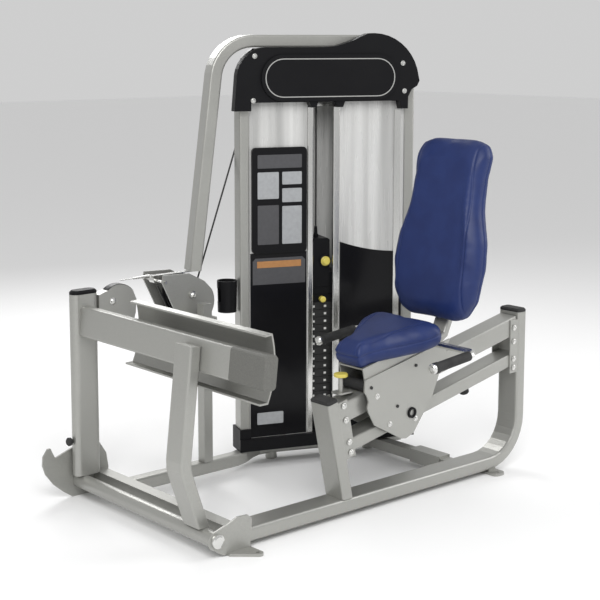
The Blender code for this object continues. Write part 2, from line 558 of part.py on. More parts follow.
def build_header(dark, bright, tower):
    """Front cover with its raised oval panel, rear cover and the two pulleys between them."""
    outline = [(-0.072, 1.430), (-0.004, 1.430), (-0.004, WINDOW_TOP), (0.236, WINDOW_TOP), (0.244, 1.440),
               (0.264, 1.440), (0.272, WINDOW_TOP), (0.345, WINDOW_TOP), (0.353, 1.440), (0.377, 1.440),
               (0.385, WINDOW_TOP), (0.620, WINDOW_TOP), (0.626, 1.430), (0.656, 1.430), (0.657, 1.478), (0.672, 1.506)]
    outline += [(0.696, 1.520), (0.706, 1.540)] + arc((0.506, 1.530), 0.198, 8, 98, 10)
    outline += [(0.420, 1.700), (0.350, 1.678), (0.290, 1.673), (0.062, 1.673)]
    outline += arc((0.058, 1.553), 0.120, 98, 172, 7)
    cover = prism("header_front_cover", outline, -0.034, 0.0056, dark, tower)
    flat = rounded(0.574, 0.179, 0.0890, steps=8)
    panel = prism("header_oval", [(0.322 + a, 1.5555 + b) for a, b in flat], -0.044, -0.030, dark, tower)
    combine(cover, [panel], "UNION")
    for i, u in enumerate((PULLEY_LEFT, STACK_U - PULLEY_R - CABLE_R - GAP)):
        room = turned(f"header_room_{i}", (u, 0.0, PULLEY_Z), (0, 1, 0), [(-0.002, 0.020), (0.05, 0.020)], dark, tower)
        combine(cover, [room], "DIFFERENCE")

    back = [(0.020, 1.4624), (0.650, 1.4624), (0.650, 1.640), (0.620, 1.668), (0.060, 1.668), (0.020, 1.630)]
    rear = prism("header_rear_cover", back, 0.1402, 0.1740, dark, tower)
    posts = []
    axles = ((0, PULLEY_LEFT), (1, STACK_U - PULLEY_R - CABLE_R - GAP))
    for i, u in axles:
        posts.append(turned(f"header_axle_{i}", (u, 0, PULLEY_Z), (0, 1, 0), [(0.002, 0.0098), (0.150, 0.0098)], dark,
                            tower))
    combine(rear, posts, "UNION")
    groove = PULLEY_R - 0.006
    for name, u in (("header_pulley_left", PULLEY_LEFT), ("header_pulley_right", axles[1][1])):
        hub = joint_empty(name + "_axis", (u, STACK_N, PULLEY_Z), tower)
        ring = [(-0.012, 0.0102), (-0.012, PULLEY_R), (-0.009, PULLEY_R), (-0.006, groove), (0.006, groove),
                (0.009, PULLEY_R), (0.012, PULLEY_R), (0.012, 0.0102)]
        hang([sleeve(name, (u, STACK_N, PULLEY_Z), (0, 1, 0), ring, bright, tower)], hub)


def plate_stack(name, low, count, cast, tower):
    """A run of weight plates with a fine groove between each two, bored for the guide rods."""
    levels, groove = [], 0.0016
    for i in range(count):
        base = low + i * PLATE_PITCH
        top = base + PLATE_PITCH
        levels += [(base + groove / 2, 0.0), (top - groove / 2, 0.0)]
        if i + 1 < count:
            levels += [(top - groove / 2, 0.004), (top + groove / 2, 0.004)]
    rings = []
    for z, inset in levels:
        a, b = PLATE_WIDE / 2 - inset, PLATE_DEEP / 2 - inset
        corners = ((a, b), (-a, b), (-a, -b), (a, -b))
        rings.append([Vector((STACK_U + x, STACK_N + y, z)) for x, y in corners])
    made = loft(name, rings, cast, tower)
    holes = []
    for i, side in enumerate((-1, 1)):
        holes.append(turned(f"{name}_hole_{i}", (STACK_U + side * ROD_SPREAD, STACK_N, low - 0.05), (0, 0, 1),
                            [(0, ROD_R + 0.0015), (count * PLATE_PITCH + 0.1, ROD_R + 0.0015)], cast, tower, sides=20))
    return combine(made, holes, "DIFFERENCE")


def build_stack(cast, dark, yellow, cable, bright, tower):
    resting = PLATES - SELECTED
    plate_stack("resting_weight_plates", STACK_LOW, resting, cast, tower)
    lift = joint_empty("stack_lift", (STACK_U, STACK_N, STACK_LOW + resting * PLATE_PITCH), tower)
    chosen = plate_stack("selected_weight_plates", STACK_LOW + resting * PLATE_PITCH, SELECTED, cast, tower)
    pin_z = STACK_LOW + (resting + 0.5) * PLATE_PITCH
    front = STACK_N - PLATE_DEEP / 2
    hole = turned("pin_hole", (STACK_U, front - 0.01, pin_z), (0, 1, 0), [(0, 0.0058), (0.090, 0.0058)], cast, tower,
                  sides=16)
    combine(chosen, [hole], "DIFFERENCE")

    low = STACK_LOW + PLATES * PLATE_PITCH - 0.0012
    wide, narrow, top = PLATE_WIDE / 2, 0.039, 0.914
    outline = [(-wide, low), (wide, low), (wide, low + 0.026), (narrow, low + 0.030), (narrow, top - 0.008),
               (narrow - 0.008, top), (-narrow + 0.008, top), (-narrow, top - 0.008), (-narrow, low + 0.030),
               (-wide, low + 0.026)]
    head = prism("stack_head", [(STACK_U + a, z) for a, z in outline], front, front + PLATE_DEEP, dark, tower)
    bores = []
    for i, side in enumerate((-1, 1)):
        bores.append(turned(f"head_bore_{i}", (STACK_U + side * ROD_SPREAD, STACK_N, low - 0.05), (0, 0, 1),
                            [(0, ROD_R + 0.0015), (0.15, ROD_R + 0.0015)], dark, tower, sides=20))
    combine(head, bores, "DIFFERENCE")
    boot = turned("cable_boot", (STACK_U, STACK_N, top - 0.004), (0, 0, 1),
                  [(0, 0.011), (0.012, 0.011), (0.016, 0.0075), (0.046, 0.0055)], dark, tower, sides=20)
    combine(head, [boot], "UNION")
    combine(head, [chosen], "UNION")
    hang([head], lift)

    pull = joint_empty("selector_pin_slide", (STACK_U, front, pin_z), tower)
    shaft = [(-0.034, 0.008), (-0.031, 0.012), (-0.012, 0.012), (-0.010, 0.0075), (-0.003, 0.0072), (-0.003, 0.0050),
             (0.075, 0.0050)]
    hang([turned("selector_pin", (STACK_U, front, pin_z), (0, 1, 0), shaft, yellow, tower)], pull)
    dial = joint_empty("add_weight_knob_axis", (STACK_U + 0.018, front, 0.822), tower)
    profile = [(-GAP, 0.019), (-0.010, 0.0195), (-0.012, 0.0155), (-0.020, 0.0150), (-0.023, 0.0110)]
    hang([turned("add_weight_knob", (STACK_U + 0.018, front, 0.822), (0, 1, 0), profile, yellow, tower, sides=28)],
         dial)

    run = [(STACK_U, STACK_N, 0.9575 + (PULLEY_Z - 0.9575 - 2 * GAP) * i / 6) for i in range(7)]
    rod_curve("stack_cable", run, CABLE_R, cable, tower)


def build_main_cable(cable, root):
    """One cable: over both header pulleys, down to the redirect pulley, under it and up to the corner roller."""
    right = STACK_U - PULLEY_R - CABLE_R - GAP
    points = [tower_place(right + (PULLEY_R + CABLE_R + GAP), STACK_N, PULLEY_Z)]
    clear = PULLEY_R + CABLE_R + GAP
    for t in range(10, 91, 10):
        points.append(tower_place(right + clear * cos(radians(t)), STACK_N, PULLEY_Z + clear * sin(radians(t))))
    for t in range(90, 181, 10):
        points.append(tower_place(PULLEY_LEFT + clear * cos(radians(t)), STACK_N, PULLEY_Z + clear * sin(radians(t))))
    around = REDIRECT_R + CABLE_R + GAP
    start = Vector((REDIRECT_X + around, BELT_Y, REDIRECT_Z + 0.030))
    leave = points[-1]
    for i in range(1, 13):
        points.append(leave.lerp(start, i / 13))
    points.append(start)
    for t in range(0, -151, -10):
        points.append(Vector((REDIRECT_X + around * cos(radians(t)), BELT_Y, REDIRECT_Z + around * sin(radians(t)))))
    points.append(Vector((ROLLER_X + 0.030, BELT_Y, ROLLER_Z - 0.052)))
    points.append(Vector((ROLLER_X + 0.0160, BELT_Y, ROLLER_Z - 0.0250)))
    return rod_curve("main_cable", points, CABLE_R, cable, root)


def build_tower_fittings(dark, plastic, tower):
    board = rounded(0.228, 0.416, 0.016, steps=4)
    prism("instruction_board", [(0.122 + a, 1.078 + b) for a, b in board], -0.006, 0.006 - GAP, dark, tower)
    # Bottle holder: a cup with its left side cut away, open at the top
    at_u, at_n, radius, wall = -0.082, 0.040, 0.0370, 0.0035
    low, high = 0.640, 0.765
    profile = [(low, radius), (high, radius + 0.003), (high, radius + 0.003 - wall), (low + wall, radius - wall)]
    cup = loft("bottle_holder", [[Vector((at_u + r * cos(2 * pi * i / 28), at_n + r * sin(2 * pi * i / 28), z))
                                  for i in range(28)] for z, r in profile], dark, tower)
    window = slab("bottle_holder_window", (at_u - 0.06, at_n - 0.020, low + 0.040), (at_u, at_n + 0.020, high - 0.030),
                  plastic, tower)
    combine(cup, [window], "DIFFERENCE")


# ---------------------------------------------------------------- seat carriage

def build_carriage(steel, rubber, yellow, root):
    """Two side plates on rollers, the seat deck with the back upright, and the sprung release lever."""
    slide = joint_empty("carriage_slide", rail_point(0.2, UPPER_V), root)
    notch = [(0.133, 0.367), (0.142, 0.348), (0.1456, 0.325), (0.135, 0.305)]
    side = [(0.1455, 0.408)] + notch + [(0.137, 0.287), (0.156, 0.230), (0.276, 0.128), (0.300, 0.119),
                                        (0.341, 0.125), (0.395, 0.171), (0.459, 0.223), (0.560, 0.362), (0.592, 0.408)]
    pieces = []
    for name, low in (("near_carriage_plate", CARRIAGE_NEAR), ("far_carriage_plate", CARRIAGE_FAR)):
        plate = prism(name, rail_outline(side), low, low + CARRIAGE_T, steel, root)
        for i, (u, v) in enumerate(ROLLER_SPOTS.values()):
            at = rail_point(u, v, low - 0.01)
            bore = turned(f"{name}_bore_{i}", at, (0, 1, 0), [(0, 0.0062), (0.03, 0.0062)], steel, root, sides=16)
            combine(plate, [bore], "DIFFERENCE")
        pieces.append(plate)

    inside = (CARRIAGE_NEAR + CARRIAGE_T + GAP, CARRIAGE_FAR - GAP)
    middle, half = (inside[0] + inside[1]) / 2, (inside[1] - inside[0]) / 2
    for name, (u, v) in ROLLER_SPOTS.items():
        at = rail_point(u, v, middle)
        hub = joint_empty(name + "_axis", at, root)
        end = half + CARRIAGE_T + 0.004
        profile = [(-end, 0.0058), (-half + 0.004, 0.0058), (-half + 0.004, ROLLER), (half - 0.004, ROLLER),
                   (half - 0.004, 0.0058), (end, 0.0058)]
        hang([turned(name, at, (0, 1, 0), profile, rubber, root, sides=20)], hub)

    # Deck: a folded plate under the seat, its sides between the carriage plates, and the back's upright
    low, high = DECK_V - 0.057, DECK_V
    deck = prism("seat_deck", rail_outline([(0.148, low), (0.462, low), (0.462, high), (0.148, high)]), inside[0],
                 inside[1], steel, root)
    room = prism("seat_deck_room", rail_outline([(0.10, low - 0.02), (0.50, low - 0.02), (0.50, high - 0.006),
                                                 (0.10, high - 0.006)]), inside[0] + 0.005, inside[1] - 0.005, steel,
                 root)
    combine(deck, [room], "DIFFERENCE")
    pieces.append(deck)
    under_bar = [rail_point(u, 0.388) for u in (0.463, 0.540)]
    upright = [(p.x, p.z) for p in under_bar] + [(1.150, 0.600), (1.1745, 0.652), (1.2475, 1.060)]
    bar = rounded(0.070, 0.030, 0.008)
    back = sweep("back_upright", [(x, RAIL_Y, z) for x, z in upright], (0, 1, 0), bar, steel, root)
    pieces.append(back)
    hang(pieces, slide)

    lever = slab("release_lever", (0.612, 0.025, 0.4500), (0.684, 0.075, 0.4560), steel, root, radius=0.012)
    stem = turned("release_stem", (0.640, 0.050, 0.453), (0, 0, 1),
                  [(0, 0.009), (0.056, 0.009), (0.057, 0.022), (0.064, 0.025), (0.069, 0.022)], yellow, root, sides=28)
    combine(lever, [stem], "UNION")
    pivot = joint_empty("release_lever_axis", (0.690, RAIL_Y, 0.452), root)
    hang([lever], pivot)
    return slide


def build_handles(bright, rubber, root, slide):
    """One bar bent round under the seat, with a grip and an end cap on each forward arm."""
    bend, grip = 0.034, 0.180
    back_x, back_z = 1.024, 0.5905
    front_x, front_z = 0.806, 0.5675
    drop = (back_z - front_z) / (back_x - front_x)
    pieces = []
    arms = []
    for side in (-1, 1):
        y = RAIL_Y + side * GRIP_SPREAD
        corner = arc((back_x - bend, y - side * bend), bend, 90 * side, 0, 6)
        arms.append([(front_x + grip, y)] + corner)
    near, far = arms
    path = near + list(reversed(far))
    points = [Vector((x, y, back_z - (back_x - x) * drop)) for x, y in path]
    pieces.append(rod_curve("handle_bar", points, 0.0125, bright, root))
    for name, side in (("near_grip", -1), ("far_grip", 1)):
        along = Vector((-1, 0, -drop)).normalized()
        start = Vector((front_x + grip - GAP, RAIL_Y + side * GRIP_SPREAD, back_z - (back_x - front_x - grip) * drop))
        profile = [(GAP, 0.0165), (0.004, 0.0180), (0.160, 0.0180), (0.162, 0.0200), (0.176, 0.0205), (0.181, 0.0165)]
        pieces.append(turned(name, start, along, profile, rubber, root, sides=24))
    hang(pieces, slide)


def cushion_rings(outline, levels):
    """Rings of one outline, drawn in by each level's inset. outline is (a, b) pairs about its middle."""
    return [[(a * (1 - inset / abs(hypot(a, b))), b * (1 - inset / abs(hypot(a, b))), level) for a, b in outline]
            for level, inset in levels]


def build_cushions(blue, root, slide):
    """Seat: narrow at the front, wide at the back. Back: waisted, leaning with the upright."""
    half = [(0.000, 0.070), (0.060, 0.078), (0.120, 0.105), (0.190, 0.150), (0.260, 0.184), (0.330, 0.190),
            (0.366, 0.165)]
    outline = [(u, w) for u, w in half] + [(u, -w) for u, w in reversed(half)]
    mid = 0.190
    centred = [(u - mid, w) for u, w in outline]
    rings = [[rail_point(SEAT_FRONT + mid + a, v, RAIL_Y + b) for a, b, v in ring]
             for ring in cushion_rings(centred, ((SEAT_LOW, 0.012), (SEAT_LOW + 0.014, 0.0), (SEAT_LOW + 0.056, 0.0),
                                                 (SEAT_LOW + 0.076, 0.018), (SEAT_LOW + 0.084, 0.045)))]
    seat = loft("seat_pad", rings, blue, root)

    widths = [(0.00, 0.120), (0.03, 0.170), (0.12, 0.212), (0.30, 0.232), (0.45, 0.228), (0.62, 0.205), (0.80, 0.186),
              (0.93, 0.176), (0.98, 0.150), (1.00, 0.100)]
    outline = [(h, w) for h, w in widths] + [(h, -w) for h, w in reversed(widths)]

    def back_point(h, w, depth):
        """A point at share h of the back's height, w across and depth behind its front face."""
        x = BACK_LOW[0] + (BACK_TOP[0] - BACK_LOW[0]) * h ** 1.6
        z = BACK_LOW[1] + (BACK_TOP[1] - BACK_LOW[1]) * h
        return Vector((x + depth, RAIL_Y + w, z - 0.12 * depth))

    rings = []
    for depth, shrink in ((0.0, 0.80), (0.012, 0.93), (0.030, 1.0), (BACK_THICK - 0.010, 1.0), (BACK_THICK, 0.95)):
        rings.append([back_point(0.5 + (h - 0.5) * shrink, w * shrink, depth) for h, w in outline])
    back = loft("back_pad", rings, blue, root)
    hang([seat, back], slide)


def main():
    clear_scene()
    steel = material("silver_powder_coat", (0.47, 0.47, 0.44), 0.38, 0.65)
    bright = material("bright_steel", (0.72, 0.72, 0.70), 0.22, 1.0)
    dark = material("black_plastic", (0.03, 0.03, 0.035), 0.42)
    rubber = material("black_rubber", (0.02, 0.02, 0.02), 0.70)
    plastic = material("grey_plastic", (0.33, 0.33, 0.31), 0.60)
    cast = material("black_cast_iron", (0.03, 0.03, 0.03), 0.50, 0.3)
    clear = material("smoked_panel", (0.20, 0.20, 0.19), 0.15)
    yellow = material("yellow_plastic", (0.78, 0.70, 0.22), 0.40)
    blue = material("blue_upholstery", (0.05, 0.09, 0.30), 0.50)
    cable = material("black_cable", (0.02, 0.02, 0.02), 0.45)

    middle = Vector(((HOOK_TIP_X + REAR_POST_X + TUBE_T / 2) / 2, (SLEEVE_NEAR + BRACKET_FAR + 0.008) / 2, 0))
    root = empty("leg_press", -middle)
    tower = empty("tower", TOWER_AT, TOWER_TURN, root)
    rail = build_seat_frame(steel, rubber, root)
    build_front_frame(steel, bright, root)
    build_cross_tube(rail, steel, root)
    build_press_arm(steel, plastic, rubber, dark, root)
    build_pulley_bracket(steel, bright, dark, cable, root)
    build_tower_frame(steel, bright, dark, clear, tower)
    build_header(dark, bright, tower)
    build_stack(cast, dark, yellow, cable, bright, tower)
    build_main_cable(cable, root)
    build_tower_fittings(dark, plastic, tower)
    slide = build_carriage(steel, rubber, yellow, root)
    build_handles(bright, rubber, root, slide)
    build_cushions(blue, root, slide)


main()
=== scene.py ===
"""A seated leg press machine: procedural finishes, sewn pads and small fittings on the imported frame."""
import json
from math import cos, pi, radians, sin

import bmesh
import bpy
import numpy as np
from mathutils import Matrix, Vector

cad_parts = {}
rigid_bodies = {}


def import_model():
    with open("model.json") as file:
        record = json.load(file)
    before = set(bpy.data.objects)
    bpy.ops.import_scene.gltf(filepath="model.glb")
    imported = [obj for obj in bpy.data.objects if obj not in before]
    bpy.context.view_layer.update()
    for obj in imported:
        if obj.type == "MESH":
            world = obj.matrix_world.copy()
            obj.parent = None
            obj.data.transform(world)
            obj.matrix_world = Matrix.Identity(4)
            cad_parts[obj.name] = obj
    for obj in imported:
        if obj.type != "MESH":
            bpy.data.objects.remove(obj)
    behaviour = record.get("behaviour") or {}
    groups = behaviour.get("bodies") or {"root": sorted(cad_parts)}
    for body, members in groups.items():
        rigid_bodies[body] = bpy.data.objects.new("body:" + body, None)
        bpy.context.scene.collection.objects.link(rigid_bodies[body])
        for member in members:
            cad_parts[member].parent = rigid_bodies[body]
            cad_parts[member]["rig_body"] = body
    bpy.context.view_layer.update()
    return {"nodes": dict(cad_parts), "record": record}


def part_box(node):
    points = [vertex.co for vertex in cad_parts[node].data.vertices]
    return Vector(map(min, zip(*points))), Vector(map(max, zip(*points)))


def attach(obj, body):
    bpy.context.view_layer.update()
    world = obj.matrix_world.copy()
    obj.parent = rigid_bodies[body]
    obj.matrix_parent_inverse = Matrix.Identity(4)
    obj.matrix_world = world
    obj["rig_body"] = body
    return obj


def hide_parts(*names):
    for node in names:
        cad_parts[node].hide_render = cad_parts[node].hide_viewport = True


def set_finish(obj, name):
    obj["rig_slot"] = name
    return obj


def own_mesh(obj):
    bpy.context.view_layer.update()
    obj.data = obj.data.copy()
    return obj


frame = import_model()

# The machine's own axes start at the pivot tube's near end, and the frame's at the middle of its box
MIDDLE = Vector((0.740, 0.3022, 0.0))
TOWER_AT, TOWER_TURN = Vector((0.726, 0.669, 0.0)), radians(-20.5)
RAIL_FOOT, RAIL_TILT = Vector((0.636, 0.050, 0.070)), radians(11.8)
ALONG = Vector((cos(TOWER_TURN), sin(TOWER_TURN), 0))
INTO = Vector((-sin(TOWER_TURN), cos(TOWER_TURN), 0))
UP = Vector((0, 0, 1))
NEAR = Vector((0, -1, 0))

# Tower: its panels' height range, the weight plates and the header's oval panel
PANEL_LOW, STRIP_HIGH = 0.128, 1.425
STACK_FRONT, PLATE_PITCH, RESTING_PLATES = 0.030, 0.0307, 13
OVAL_U, OVAL_Z = 0.322, 1.5555

# Press arm and cable side
CAM_X, CAM_Z, BELT_LOW, BELT_HIGH = 0.195, 0.715, 0.0794, 0.0812
BELT_NEAR, BELT_FAR = 0.794, 0.826
CARRIAGE_FACE, RAIL_FACE = -0.0203, 0.0003


def machine(x, y, z):
    """A point of the machine's own axes, in the frame's."""
    return Vector((x, y, z)) - MIDDLE


def tower(u, n, z):
    """A point u along the tower's front, n behind it and z above the floor."""
    return TOWER_AT + ALONG * u + INTO * n + UP * z - MIDDLE


def rail(u, v, y):
    """A point u along the seat rails and v square to them."""
    c, s = cos(RAIL_TILT), sin(RAIL_TILT)
    return Vector((RAIL_FOOT.x + u * c - v * s, y, RAIL_FOOT.z + u * s + v * c)) - MIDDLE


# ---------------------------------------------------------------- materials

def shader(name, color, roughness, metallic=0.0, **sockets):
    """A Principled material. Each further socket is named with _ for a space."""
    made = bpy.data.materials.new(name)
    made.use_nodes = True
    principled = made.node_tree.nodes["Principled BSDF"]
    principled.inputs["Base Color"].default_value = (*color, 1)
    principled.inputs["Roughness"].default_value = roughness
    principled.inputs["Metallic"].default_value = metallic
    for socket, value in sockets.items():
        principled.inputs[socket.replace("_", " ")].default_value = value
    return made


def noise(made, scale, detail=3.0, stretch=(1, 1, 1)):
    """A noise texture in object space. Stretch squeezes it along an axis."""
    nodes, links = made.node_tree.nodes, made.node_tree.links
    place = nodes.new("ShaderNodeTexCoord")
    mapping = nodes.new("ShaderNodeMapping")
    mapping.inputs["Scale"].default_value = stretch
    texture = nodes.new("ShaderNodeTexNoise")
    texture.inputs["Scale"].default_value = scale
    texture.inputs["Detail"].default_value = detail
    links.new(place.outputs["Object"], mapping.inputs["Vector"])
    links.new(mapping.outputs["Vector"], texture.inputs["Vector"])
    return texture.outputs["Fac"]


def spread(made, fac, socket, low, high):
    """Drives a socket from low to high with a texture: numbers or colours."""
    nodes, links = made.node_tree.nodes, made.node_tree.links
    target = nodes["Principled BSDF"].inputs[socket]
    if isinstance(low, tuple):
        ramp = nodes.new("ShaderNodeValToRGB")
        ramp.color_ramp.elements[0].position, ramp.color_ramp.elements[1].position = 0.35, 0.65
        ramp.color_ramp.elements[0].color, ramp.color_ramp.elements[1].color = (*low, 1), (*high, 1)
        links.new(fac, ramp.inputs["Fac"])
        links.new(ramp.outputs["Color"], target)
        return
    ramp = nodes.new("ShaderNodeMapRange")
    ramp.inputs["From Min"].default_value, ramp.inputs["From Max"].default_value = 0.3, 0.7
    ramp.inputs["To Min"].default_value, ramp.inputs["To Max"].default_value = low, high
    links.new(fac, ramp.inputs["Value"])
    links.new(ramp.outputs["Result"], target)


def bump(made, fac, strength, distance):
    nodes, links = made.node_tree.nodes, made.node_tree.links
    relief = nodes.new("ShaderNodeBump")
    relief.inputs["Strength"].default_value = strength
    relief.inputs["Distance"].default_value = distance
    links.new(fac, relief.inputs["Height"])
    links.new(relief.outputs["Normal"], nodes["Principled BSDF"].inputs["Normal"])


def powder_coat():
    made = shader("silver_powder_coat", (0.38, 0.38, 0.355), 0.38, 0.62, Coat_Weight=0.15, Coat_Roughness=0.2)
    spread(made, noise(made, 900, 2), "Base Color", (0.33, 0.33, 0.31), (0.43, 0.43, 0.405))
    spread(made, noise(made, 6, 3), "Roughness", 0.32, 0.42)
    bump(made, noise(made, 420, 2), 0.12, 0.0004)
    return made


def bright_steel():
    made = shader("bright_steel", (0.72, 0.72, 0.70), 0.2, 1.0)
    spread(made, noise(made, 60, 3, (8, 8, 0.4)), "Roughness", 0.14, 0.28)
    bump(made, noise(made, 500, 2, (4, 4, 0.3)), 0.05, 0.0002)
    return made


def black_plastic():
    made = shader("black_plastic", (0.008, 0.008, 0.009), 0.44, 0.0, Specular_IOR_Level=0.12)
    spread(made, noise(made, 9, 3), "Roughness", 0.32, 0.46)
    bump(made, noise(made, 650, 2), 0.16, 0.0003)
    return made


def black_rubber():
    made = shader("black_rubber", (0.016, 0.016, 0.016), 0.72)
    spread(made, noise(made, 22, 3), "Base Color", (0.012, 0.012, 0.012), (0.026, 0.026, 0.026))
    bump(made, noise(made, 380, 3), 0.3, 0.0004)
    return made


def grey_plastic():
    made = shader("grey_plastic", (0.165, 0.165, 0.150), 0.55)
    spread(made, noise(made, 300, 2), "Base Color", (0.105, 0.105, 0.096), (0.140, 0.140, 0.128))
    bump(made, noise(made, 500, 2), 0.15, 0.0003)
    return made


def cast_iron():
    made = shader("black_cast_iron", (0.022, 0.022, 0.022), 0.5, 0.25)
    spread(made, noise(made, 80, 4), "Roughness", 0.42, 0.62)
    bump(made, noise(made, 170, 4), 0.3, 0.0006)
    return made


def shield_panel():
    """Light, with faint streaks up and down."""
    made = shader("smoked_panel", (0.85, 0.85, 0.83), 0.26, 0.15)
    spread(made, noise(made, 5, 2, (3, 3, 0.15)), "Base Color", (0.42, 0.42, 0.41), (0.68, 0.68, 0.665))
    spread(made, noise(made, 14, 2, (3, 3, 0.2)), "Roughness", 0.20, 0.34)
    return made


def lower_panel():
    made = shader("lower_panel", (0.007, 0.007, 0.008), 0.20, 0.0, Specular_IOR_Level=0.16)
    spread(made, noise(made, 8, 3), "Roughness", 0.12, 0.22)
    return made


def yellow_plastic():
    made = shader("yellow_plastic", (0.62, 0.52, 0.10), 0.36)
    spread(made, noise(made, 60, 3), "Roughness", 0.30, 0.44)
    return made


def black_cable():
    made = shader("black_cable", (0.015, 0.015, 0.015), 0.45)
    bump(made, noise(made, 900, 2), 0.3, 0.0003)
    return made


def blue_vinyl():
    """Fine grain, as raised cells between creases."""
    made = shader("blue_upholstery", (0.011, 0.024, 0.108), 0.46, 0.0, Specular_IOR_Level=0.38)
    spread(made, noise(made, 14, 3), "Base Color", (0.010, 0.022, 0.100), (0.013, 0.028, 0.120))
    nodes, links = made.node_tree.nodes, made.node_tree.links
    place = nodes.new("ShaderNodeTexCoord")
    grain = nodes.new("ShaderNodeTexVoronoi")
    grain.feature = "DISTANCE_TO_EDGE"
    grain.inputs["Scale"].default_value = 520
    links.new(place.outputs["Object"], grain.inputs["Vector"])
    bump(made, grain.outputs["Distance"], 0.22, 0.0006)
    return made


def printed_card(name, color):
    made = shader(name, color, 0.42)
    darker = tuple(c * 0.9 for c in color)
    spread(made, noise(made, 70, 2), "Base Color", darker, color)
    return made


def make_materials():
    """Every look by name. Those that CAD nodes take have their record slot's name."""
    made = {"silver_powder_coat": powder_coat(), "bright_steel": bright_steel(),
            "black_plastic": black_plastic(), "black_rubber": black_rubber(),
            "grey_plastic": grey_plastic(), "black_cast_iron": cast_iron(),
            "smoked_panel": shield_panel(), "lower_panel": lower_panel(),
            "yellow_plastic": yellow_plastic(), "black_cable": black_cable(),
            "blue_upholstery": blue_vinyl()}
    for name, color in (("card_grey", (0.36, 0.37, 0.38)), ("card_brown", (0.42, 0.20, 0.07)),
                        ("mark_white", (0.72, 0.72, 0.70)), ("card_dark", (0.07, 0.07, 0.075))):
        made[name] = printed_card(name, color)
    return made


def dress_nodes(looks):
    """Every CAD node takes the finish of its own material slot."""
    for row in frame["record"]["subparts"]:
        node = frame["nodes"][row["node"]]
        node.data.materials.clear()
        node.data.materials.append(looks[row["material_slot"]])


# ---------------------------------------------------------------- building pieces

def piece(name, verts, faces, look, body, slot):
    mesh = bpy.data.meshes.new(name)
    mesh.from_pydata([tuple(v) for v in verts], [], faces)
    mesh.update()
    made = bpy.data.objects.new(name, mesh)
    bpy.context.scene.collection.objects.link(made)
    mesh.materials.append(look)
    bm = bmesh.new()
    bm.from_mesh(mesh)
    bmesh.ops.recalc_face_normals(bm, faces=bm.faces)
    bm.to_mesh(mesh)
    bm.free()
    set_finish(made, slot)
    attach(made, body)
    return made


def soften(made, width):
    bevel = made.modifiers.new("edges", "BEVEL")
    bevel.width, bevel.segments, bevel.limit_method = width, 2, "ANGLE"


def plate(name, outline, place, out, thick, look, body, slot):
    """A flat shape from outline's (a, b) pairs. place turns (a, b, depth) into a point.
    It starts at depth out."""
    count = len(outline)
    verts = [place(a, b, out + d) for d in (0, thick) for a, b in outline]
    faces = [list(range(count)), list(range(2 * count - 1, count - 1, -1))]
    faces += [[i, (i + 1) % count, count + (i + 1) % count, count + i] for i in range(count)]
    return piece(name, verts, faces, look, body, slot)


def rectangle(a0, b0, a1, b1, corner=0.0, steps=4):
    if not corner:
        return [(a0, b0), (a1, b0), (a1, b1), (a0, b1)]
    points = []
    for a, b, start in ((a1 - corner, b0 + corner, -90), (a1 - corner, b1 - corner, 0),
                        (a0 + corner, b1 - corner, 90), (a0 + corner, b0 + corner, 180)):
        for i in range(steps + 1):
            t = radians(start + 90 * i / steps)
            points.append((a + corner * cos(t), b + corner * sin(t)))
    return points


def turned_points(at, axis, profile, sides):
    """One ring of points for each (distance along axis, radius) pair of the profile."""
    turn = axis.normalized().to_track_quat("Z", "Y").to_matrix()
    points = []
    for h, r in profile:
        points += [at + turn @ Vector((r * cos(2 * pi * i / sides), r * sin(2 * pi * i / sides), h))
                   for i in range(sides)]
    return points


def band(k, after, sides):
    """The faces between ring k and ring after."""
    return [[k * sides + i, k * sides + (i + 1) % sides, after * sides + (i + 1) % sides, after * sides + i]
            for i in range(sides)]


def lathe(name, at, axis, profile, look, body, slot, sides=24):
    """A turned piece, closed at both ends."""
    verts = turned_points(at, axis, profile, sides)
    faces = [list(range(sides)), list(range(len(verts) - sides, len(verts)))]
    for k in range(len(profile) - 1):
        faces += band(k, k + 1, sides)
    return piece(name, verts, faces, look, body, slot)


def lathe_ring(name, at, axis, profile, look, body, slot, sides=28):
    """A turned ring, whose profile closes on itself."""
    faces = []
    for k in range(len(profile)):
        faces += band(k, (k + 1) % len(profile), sides)
    return piece(name, turned_points(at, axis, profile, sides), faces, look, body, slot)


def bolt(name, at, axis, size, looks, body):
    """A domed button head with its washer."""
    profile = [(0, size * 1.35), (size * 0.18, size * 1.35), (size * 0.2, size), (size * 0.5, size * 0.94),
               (size * 0.72, size * 0.70), (size * 0.8, size * 0.34), (size * 0.62, size * 0.28)]
    return lathe(name, at, axis, profile, looks["bright_steel"], body, "bright_steel", sides=20)


def join(name, parts):
    """Several fittings of one body and finish become one piece."""
    body = parts[0]["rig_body"]
    mesh = bpy.data.meshes.new(name)
    bm = bmesh.new()
    for part in parts:
        shape = part.data.copy()
        shape.transform(part.matrix_world)
        bm.from_mesh(shape)
    bm.to_mesh(mesh)
    bm.free()
    mesh.materials.append(parts[0].data.materials[0])
    slot = parts[0]["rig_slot"]
    for part in parts:
        bpy.data.objects.remove(part)
    made = bpy.data.objects.new(name, mesh)
    bpy.context.scene.collection.objects.link(made)
    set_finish(made, slot)
    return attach(made, body)


# ---------------------------------------------------------------- sewn pads

